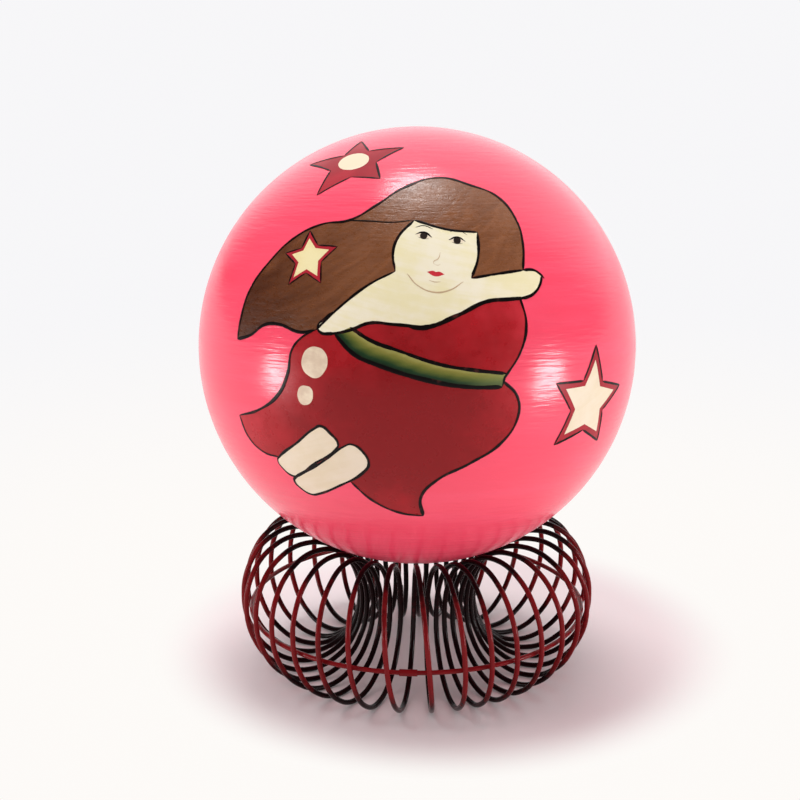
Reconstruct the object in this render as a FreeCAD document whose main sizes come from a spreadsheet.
import FreeCAD, Part
import math
import os
import Sketcher

# A painted croquet ball resting on a ring stand. The stand is one long wire coil bent
# round into a ring, with a single wire hoop threaded inside it that keeps it round.
# Units are millimetres. The origin is on the table under the ball, +Z is up, and the
# front of the ball faces -Y. An azimuth is counted from the front (-Y) towards +X.

DRIVING_SIZES = [
    # alias, value, what it is
    ("ball_diameter", 92.0, "regulation croquet ball, over the enamel"),
    ("enamel_thickness", 0.3, "primer, colour and varnish together"),
    ("ball_height", 72.15, "centre of the ball above the table, 0.14 over its seat"),
    ("turn_count", 33, "turns of wire in the ring"),
    ("coil_radius", 25.0, "from the stand's axis to the middle of a turn"),
    ("turn_half_width", 12.6, "from the middle of a turn to its wire, level"),
    ("turn_half_height", 15.3, "from the middle of a turn to its wire, upright"),
    ("coil_wire", 1.1, "diameter of the coil's wire"),
    ("spread_angle", 3.9, "degrees by which the turns are pushed round at the front"),
    ("spread_azimuth", 6.0, "where that push is greatest"),
    ("spread_reach", 17.0, "degrees either side over which it fades"),
    ("wander_angle", 0.5, "degrees by which the spacing wanders elsewhere"),
    ("wander_waves", 5, "waves of that wander round the ring"),
    ("ferrule_length", 3.4, "crimped sleeve over the coil's two ends"),
    ("ferrule_diameter", 2.0, "outside of that sleeve"),
    ("wire_gap", 0.2, "left between two wire ends inside their sleeve"),
    ("hoop_radius", 35.9, "from the stand's axis to the hoop's wire"),
    ("hoop_wire", 1.0, "diameter of the hoop's wire"),
    ("hoop_height", 13.2, "hoop above the table, a little under the turns' middle"),
    ("hoop_sleeve_angle", 6.0, "how far round the hoop its sleeve reaches"),
    ("hoop_sleeve_diameter", 1.45, "outside of that sleeve"),
    ("hoop_sleeve_azimuth", -3.0, "the sleeve sits between two turns at the front"),
]

# One turn is drawn as this many straight runs, rounded into each other.
RUNS_PER_TURN = 12
# Share of a run that the bend at each of its ends takes.
BEND_SHARE = 0.45
# The run that carries the ferrule bends less, so that its middle is straight.
FERRULE_BEND_SHARE = 0.2
# The coil's ends meet two runs below the outermost point of a turn, at the back.
RUNS_BELOW_OUTSIDE = 2
# Radius to which the outer edges of a sleeve are broken.
SMALL_ROUND = 0.12


def make_sheet(doc):
    sheet = doc.addObject("Spreadsheet::Sheet", "Sizes")
    for row, (alias, value, meaning) in enumerate(DRIVING_SIZES, start=1):
        sheet.set("A%d" % row, alias)
        sheet.set("B%d" % row, str(value))
        sheet.set("C%d" % row, meaning)
        sheet.setAlias("B%d" % row, alias)
    doc.recompute()
    return sheet


def origin_plane(body, role):
    return next(item for item in body.Origin.OriginFeatures if item.Role == role)


def new_body(doc, name):
    body = doc.addObject("PartDesign::Body", name)
    body.Label = name
    return body


def new_sketch(body, name, plane_role):
    sketch = body.newObject("Sketcher::SketchObject", name)
    sketch.AttachmentSupport = [(origin_plane(body, plane_role), "")]
    sketch.MapMode = "FlatFace"
    return sketch


def add_half_round(sketch, radius_expression, start_value):
    """Adds a half circle about the sketch's upright axis and returns its index."""
    arc = sketch.addGeometry(
        Part.ArcOfCircle(
            Part.Circle(FreeCAD.Vector(0, 0, 0), FreeCAD.Vector(0, 0, 1), start_value),
            -math.pi / 2,
            math.pi / 2,
        )
    )
    sketch.addConstraint(Sketcher.Constraint("Coincident", arc, 3, -1, 1))
    sketch.addConstraint(Sketcher.Constraint("PointOnObject", arc, 1, -2))
    sketch.addConstraint(Sketcher.Constraint("PointOnObject", arc, 2, -2))
    radius = sketch.addConstraint(Sketcher.Constraint("Radius", arc, start_value))
    sketch.setExpression("Constraints[%d]" % radius, radius_expression)
    return arc


def add_round(sketch, across, up, diameter, start):
    """Adds a circle whose centre and diameter follow the sheet.

    across, up and diameter are expressions, and start holds their first values.
    """
    centre = FreeCAD.Vector(start[0], start[1], 0)
    circle = sketch.addGeometry(Part.Circle(centre, FreeCAD.Vector(0, 0, 1), start[2] / 2))
    size = sketch.addConstraint(Sketcher.Constraint("Diameter", circle, start[2]))
    sketch.setExpression("Constraints[%d]" % size, diameter)
    if across is None:
        sketch.addConstraint(Sketcher.Constraint("Coincident", circle, 3, -1, 1))
        return circle
    place_x = sketch.addConstraint(Sketcher.Constraint("DistanceX", -1, 1, circle, 3, start[0]))
    sketch.setExpression("Constraints[%d]" % place_x, across)
    place_y = sketch.addConstraint(Sketcher.Constraint("DistanceY", -1, 1, circle, 3, start[1]))
    sketch.setExpression("Constraints[%d]" % place_y, up)
    return circle


def revolve(body, sketch, name, angle_expression=None):
    turned = body.newObject("PartDesign::Revolution", name)
    turned.Profile = sketch
    turned.ReferenceAxis = (sketch, ["V_Axis"])
    turned.Angle = 360
    if angle_expression:
        turned.Midplane = True
        turned.setExpression("Angle", angle_expression)
    return turned


def make_ball_core(doc, sheet):
    """The turned wooden ball under its paint."""
    body = new_body(doc, "ball_core")
    sketch = new_sketch(body, "core_profile", "XZ_Plane")
    start = sheet.ball_diameter / 2 - sheet.enamel_thickness
    arc = add_half_round(sketch, "Sizes.ball_diameter / 2 - Sizes.enamel_thickness", start)
    top = FreeCAD.Vector(0, start, 0)
    line = sketch.addGeometry(Part.LineSegment(top, -top))
    sketch.addConstraint(Sketcher.Constraint("Coincident", arc, 2, line, 1))
    sketch.addConstraint(Sketcher.Constraint("Coincident", line, 2, arc, 1))
    revolve(body, sketch, "core_turning")
    body.setExpression("Placement.Base.z", "Sizes.ball_height")
    return body


def make_enamel_coat(doc, sheet):
    """The hard glossy skin of paint, a closed shell all round the wood."""
    body = new_body(doc, "enamel_coat")
    sketch = new_sketch(body, "coat_profile", "XZ_Plane")
    outer_start = sheet.ball_diameter / 2
    inner_start = outer_start - sheet.enamel_thickness
    outer = add_half_round(sketch, "Sizes.ball_diameter / 2", outer_start)
    inner = add_half_round(
        sketch, "Sizes.ball_diameter / 2 - Sizes.enamel_thickness", inner_start
    )
    for point, side in ((1, -1), (2, 1)):
        line = sketch.addGeometry(
            Part.LineSegment(
                FreeCAD.Vector(0, side * inner_start, 0),
                FreeCAD.Vector(0, side * outer_start, 0),
            )
        )
        sketch.addConstraint(Sketcher.Constraint("Coincident", inner, point, line, 1))
        sketch.addConstraint(Sketcher.Constraint("Coincident", line, 2, outer, point))
    revolve(body, sketch, "coat_turning")
    body.setExpression("Placement.Base.z", "Sizes.ball_height")
    return body


def turn_azimuth(sheet, steady):
    """Azimuth in degrees of a point whose place would be steady if all were even."""
    from_peak = (steady + 180 - sheet.spread_azimuth) % 360 - 180
    push = sheet.spread_angle * math.exp(-((from_peak / sheet.spread_reach) ** 2))
    wander = sheet.wander_angle * math.sin(math.radians(sheet.wander_waves * steady))
    return steady + push + wander


def coil_corner(sheet, step):
    """Corner of the coil's path, counted in runs from the outside of the front turn."""
    round_turn = math.radians(360 * (step + 0.5) / RUNS_PER_TURN)
    azimuth = math.radians(
        turn_azimuth(sheet, -360 * (step + 0.5) / RUNS_PER_TURN / sheet.turn_count)
    )
    outset = 1 / math.cos(math.pi / RUNS_PER_TURN)
    reach = sheet.coil_radius + sheet.turn_half_width * outset * math.cos(round_turn)
    middle = sheet.turn_half_height + sheet.coil_wire / 2
    height = middle + sheet.turn_half_height * outset * math.sin(round_turn)
    return FreeCAD.Vector(reach * math.sin(azimuth), -reach * math.cos(azimuth), height)


def coil_route(sheet):
    """Corners of the whole coil, from one wire end round to the other."""
    run_total = RUNS_PER_TURN * int(sheet.turn_count)
    # Half way round the ring, then down from the outside of that turn to the joint.
    half_way = RUNS_PER_TURN * (int(sheet.turn_count) // 2)
    first = half_way - RUNS_BELOW_OUTSIDE
    corners = [coil_corner(sheet, first + step) for step in range(run_total)]
    joint = (corners[-1] + corners[0]) * 0.5
    along = (corners[0] - corners[-1]).normalize()
    start = joint + along * (sheet.wire_gap / 2)
    end = joint - along * (sheet.wire_gap / 2)
    return [start] + corners + [end], joint, along


def bent_wire(points):
    """Straight runs through the points, joined by tangent arcs, as one wire."""
    edges = []
    here = points[0]
    for place in range(1, len(points) - 1):
        corner = points[place]
        back = points[place - 1] - corner
        ahead = points[place + 1] - corner
        shorter = min(back.Length, ahead.Length)
        next_to_end = place in (1, len(points) - 2)
        share = 2 * FERRULE_BEND_SHARE if next_to_end else BEND_SHARE
        back.normalize()
        ahead.normalize()
        half_angle = back.getAngle(ahead) / 2
        cut = share * shorter
        radius = cut * math.tan(half_angle)
        inward = (back + ahead).normalize()
        middle = corner + inward * (radius / math.sin(half_angle) - radius)
        bend_start = corner + back * cut
        bend_end = corner + ahead * cut
        edges.append(Part.LineSegment(here, bend_start).toShape())
        edges.append(Part.Arc(bend_start, middle, bend_end).toShape())
        here = bend_end
    edges.append(Part.LineSegment(here, points[-1]).toShape())
    return Part.Wire(edges)


def round_bar(path, points, diameter):
    """A closed solid of round wire along the path."""
    ends = (
        (points[0], (points[1] - points[0]).normalize()),
        (points[-1], (points[-1] - points[-2]).normalize()),
    )
    rings = [Part.Wire([Part.makeCircle(diameter / 2, *end)]) for end in ends]
    skin = path.makePipe(rings[0])
    shell = Part.makeShell(skin.Faces + [Part.Face(ring) for ring in rings])
    shell.sewShape()
    return Part.makeSolid(shell)


def make_stand_coil(doc, sheet):
    """One wire, wound into open turns and bent round into a ring."""
    points, joint, along = coil_route(sheet)
    path = bent_wire(points)
    coil = doc.addObject("Part::Feature", "stand_coil")
    coil.Label = "stand_coil"
    coil.Shape = round_bar(path, points, sheet.coil_wire)
    coil.Placement = FreeCAD.Placement()
    section = math.pi * (sheet.coil_wire / 2) ** 2
    print("coil wire %.0f mm long" % path.Length)
    print("coil volume %.2f, section times length %.2f" % (coil.Shape.Volume, section * path.Length))
    return coil, joint, along


def make_coil_ferrule(doc, sheet, joint, along):
    """The crimped sleeve in which the two ends of the coil's wire meet."""
    body = new_body(doc, "coil_ferrule")
    sketch = new_sketch(body, "ferrule_section", "XY_Plane")
    for name in ("ferrule_diameter", "coil_wire"):
        add_round(sketch, None, None, "Sizes." + name, (0, 0, getattr(sheet, name)))
    pad = body.newObject("PartDesign::Pad", "ferrule_tube")
    pad.Profile = sketch
    pad.Midplane = True
    pad.setExpression("Length", "Sizes.ferrule_length")
    round_outer_ends(doc, body, pad, "ferrule_rounding")
    turn = FreeCAD.Rotation(FreeCAD.Vector(0, 0, 1), along)
    body.Placement = FreeCAD.Placement(joint, turn)
    return body


def round_outer_ends(doc, body, feature, name):
    """Breaks the sharp outer edge at both ends of a sleeve."""
    doc.recompute()
    edges = feature.Shape.Edges
    rims = [number for number, edge in enumerate(edges, start=1) if len(edge.Vertexes) == 1]
    widest = max(edges[number - 1].Length for number in rims)
    outer = [number for number in rims if edges[number - 1].Length > 0.99 * widest]
    rounding = body.newObject("PartDesign::Fillet", name)
    rounding.Base = (feature, ["Edge%d" % number for number in outer])
    rounding.Radius = SMALL_ROUND


def make_stand_hoop(doc, sheet):
    """One wire ring inside the coil, against the outer wall of its turns."""
    body = new_body(doc, "stand_hoop")
    sketch = new_sketch(body, "hoop_section", "XZ_Plane")
    start = (sheet.hoop_radius, sheet.hoop_height, sheet.hoop_wire)
    add_round(sketch, "Sizes.hoop_radius", "Sizes.hoop_height", "Sizes.hoop_wire", start)
    # The two ends stop a little short of each other inside the sleeve.
    gap_degrees = "360 - Sizes.wire_gap / Sizes.hoop_radius * 180 / pi"
    revolve(body, sketch, "hoop_ring", gap_degrees)
    turn_to_front(body, sheet.hoop_sleeve_azimuth + 180)
    return body


def make_hoop_sleeve(doc, sheet):
    """The short sleeve in which the two ends of the hoop's wire meet."""
    body = new_body(doc, "hoop_sleeve")
    sketch = new_sketch(body, "sleeve_section", "XZ_Plane")
    for name in ("hoop_sleeve_diameter", "hoop_wire"):
        start = (sheet.hoop_radius, sheet.hoop_height, getattr(sheet, name))
        add_round(sketch, "Sizes.hoop_radius", "Sizes.hoop_height", "Sizes." + name, start)
    tube = revolve(body, sketch, "sleeve_tube", "Sizes.hoop_sleeve_angle")
    round_outer_ends(doc, body, tube, "sleeve_rounding")
    turn_to_front(body, sheet.hoop_sleeve_azimuth)
    return body


def turn_to_front(body, azimuth):
    """Turns a body made about +X so that its middle lies at this azimuth."""
    upright = FreeCAD.Vector(0, 0, 1)
    body.Placement = FreeCAD.Placement(
        FreeCAD.Vector(0, 0, 0), FreeCAD.Rotation(upright, azimuth - 90)
    )


def check_document(doc, parts):
    for item in doc.Objects:
        if "Invalid" in item.State or "Error" in item.State:
            raise RuntimeError("%s did not build: %s" % (item.Name, item.State))
    for part in parts:
        shape = part.Shape
        if shape.isNull() or not shape.isValid() or len(shape.Solids) != 1:
            raise RuntimeError("%s is not one valid solid" % part.Label)


def main():
    doc = FreeCAD.newDocument("CroquetBall")
    sheet = make_sheet(doc)
    coil, joint, along = make_stand_coil(doc, sheet)
    parts = [
        make_ball_core(doc, sheet),
        make_enamel_coat(doc, sheet),
        coil,
        make_coil_ferrule(doc, sheet, joint, along),
        make_stand_hoop(doc, sheet),
        make_hoop_sleeve(doc, sheet),
    ]
    doc.recompute()
    check_document(doc, parts)
    os.makedirs("parts", exist_ok=True)
    for part in parts:
        part.Shape.exportStep("parts/%s.step" % part.Label)
        print("%s %.1f mm3" % (part.Label, part.Shape.Volume))


main()
